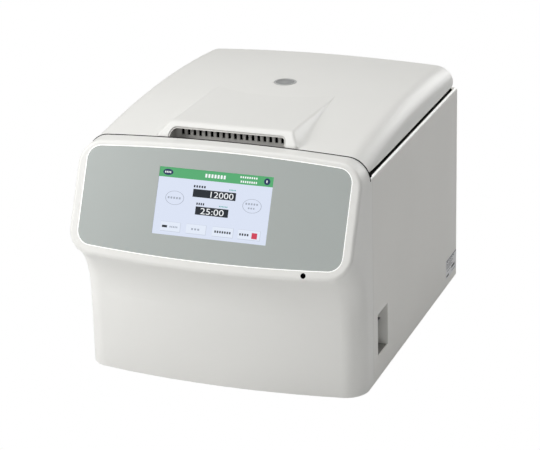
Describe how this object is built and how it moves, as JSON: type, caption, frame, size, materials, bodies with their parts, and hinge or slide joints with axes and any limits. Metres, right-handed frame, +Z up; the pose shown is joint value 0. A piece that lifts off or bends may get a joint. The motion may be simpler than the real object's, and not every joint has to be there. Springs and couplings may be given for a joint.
{
  "type": "high-speed benchtop centrifuge",
  "caption": "Benchtop centrifuge with an inclined touch-screen head, hinged crowned lid with finger grip, latched over an armoured chamber with a slanted-bore rotor on a motor spindle.",
  "frame": {"origin": "on the bench, under the middle of the overall box", "axes": "+Z up; -Y is the front with the control panel, +Y the rear with the mains inlet; +X is the side with the power switch, on the right of a person who faces the panel"},
  "size_m": [0.3843, 0.4942, 0.3405],
  "materials": {
    "white_moulding": "satin",
    "panel_film": "matte",
    "screen_glass": "gloss",
    "screen_back": "matte",
    "circuit_board": "satin",
    "white_sheet": "powder coated",
    "zinc_steel": "zinc plated",
    "stainless": "brushed",
    "armour_steel": "mill finish",
    "black_rubber": "matte",
    "grey_rubber": "matte",
    "grey_plastic": "satin",
    "dark_plastic": "matte",
    "black_plastic": "gloss",
    "lid_foam": "matte",
    "anodised": "anodised",
    "bare_aluminium": "machined",
    "motor_cast": "cast",
    "stator_iron": "varnished",
    "magnet": "ground",
    "clear_window": "clear",
    "contact_brass": "polished",
    "can_sleeve": "gloss",
    "blank_label": "matte"
  },
  "bodies": {
    "cabinet": {"front_cover": "white_moulding", "control_panel_overlay": "panel_film", "touch_screen": "screen_glass", "display_module": "screen_back", "control_board": "circuit_board", "board_standoffs": "contact_brass", "base_tray": "white_sheet", "left_side_panel": "white_sheet", "right_side_panel": "white_sheet", "rear_panel": "white_sheet", "frame_posts": "zinc_steel", "top_deck": "white_sheet", "chamber_bowl": "stainless", "chamber_gasket": "grey_rubber", "guard_ring": "armour_steel", "shaft_boot": "black_rubber", "chassis_plate": "zinc_steel", "chassis_legs": "zinc_steel", "motor_mounts": "black_rubber", "motor_housing": "motor_cast", "motor_bearings": "stainless", "motor_stator": "stator_iron", "hinge_brackets": "zinc_steel", "hinge_pins": "stainless", "latch_brackets": "zinc_steel", "latch_motor": "dark_plastic", "switch_recess": "white_moulding", "power_switch_body": "black_plastic", "power_supply": "zinc_steel", "drive_board": "circuit_board", "heat_sink": "bare_aluminium", "capacitors": "can_sleeve", "fan_frame": "dark_plastic", "fan_guard": "zinc_steel", "inlet_body": "black_plastic", "inlet_pins": "contact_brass", "rubber_feet": "black_rubber", "foot_screws": "zinc_steel", "rear_panel_screws": "zinc_steel", "rating_plate": "blank_label"},
    "lid": {"lid_shell": "white_moulding", "lid_handle": "grey_plastic", "lid_inner_plate": "stainless", "lid_liner": "lid_foam", "sight_tube": "white_moulding", "sight_glass": "clear_window", "lid_hinge_arms": "zinc_steel", "lid_strikers": "zinc_steel"},
    "rotor": {"rotor_body": "anodised", "motor_shaft": "stainless", "motor_magnet": "magnet"},
    "rotor_nut": {"rotor_nut": "bare_aluminium"},
    "latch": {"latch_shaft": "stainless", "latch_hooks": "zinc_steel"},
    "release_rod": {"release_rod": "stainless"},
    "switch_rocker": {"power_rocker": "black_plastic"},
    "fan": {"fan_impeller": "dark_plastic"},
    "fuse_holder": {"fuse_drawer": "black_plastic"}
  },
  "joints": [
    {"name": "lid_hinge", "type": "hinge", "parent": "cabinet", "child": "lid", "pos_m": [0, 0.22594, 0.31], "axis": [-1, 0, 0], "range_deg": [0, 75]},
    {"name": "rotor_spin", "type": "hinge", "parent": "cabinet", "child": "rotor", "pos_m": [0, 0.06244, 0.1695], "axis": [0, 0, 1], "continuous": true},
    {"name": "rotor_nut_turn", "type": "hinge", "parent": "rotor", "child": "rotor_nut", "pos_m": [0, 0.06244, 0.2495], "axis": [0, 0, 1], "range_deg": [0, 360]},
    {"name": "latch_turn", "type": "hinge", "parent": "cabinet", "child": "latch", "pos_m": [0, -0.12406, 0.2555], "axis": [-1, 0, 0], "range_deg": [0, 30]},
    {"name": "release_rod_slide", "type": "slide", "parent": "cabinet", "child": "release_rod", "axis": [0, 1, 0], "range_m": [-0.0136, 0]},
    {"name": "power_rocker_tilt", "type": "hinge", "parent": "cabinet", "child": "switch_rocker", "pos_m": [0.175, -0.11266, 0.074], "axis": [0, -1, 0], "range_deg": [0, 24]},
    {"name": "fan_spin", "type": "hinge", "parent": "cabinet", "child": "fan", "pos_m": [-0.096, 0.22844, 0.084], "axis": [0, 1, 0], "continuous": true},
    {"name": "fuse_drawer_slide", "type": "slide", "parent": "cabinet", "child": "fuse_holder", "axis": [0, 1, 0], "range_m": [0, 0.018]}
  ],
  "couplings": [
    {"joint": "release_rod_slide", "follows": "latch_turn", "m_per_rad": -0.0257}
  ]
}
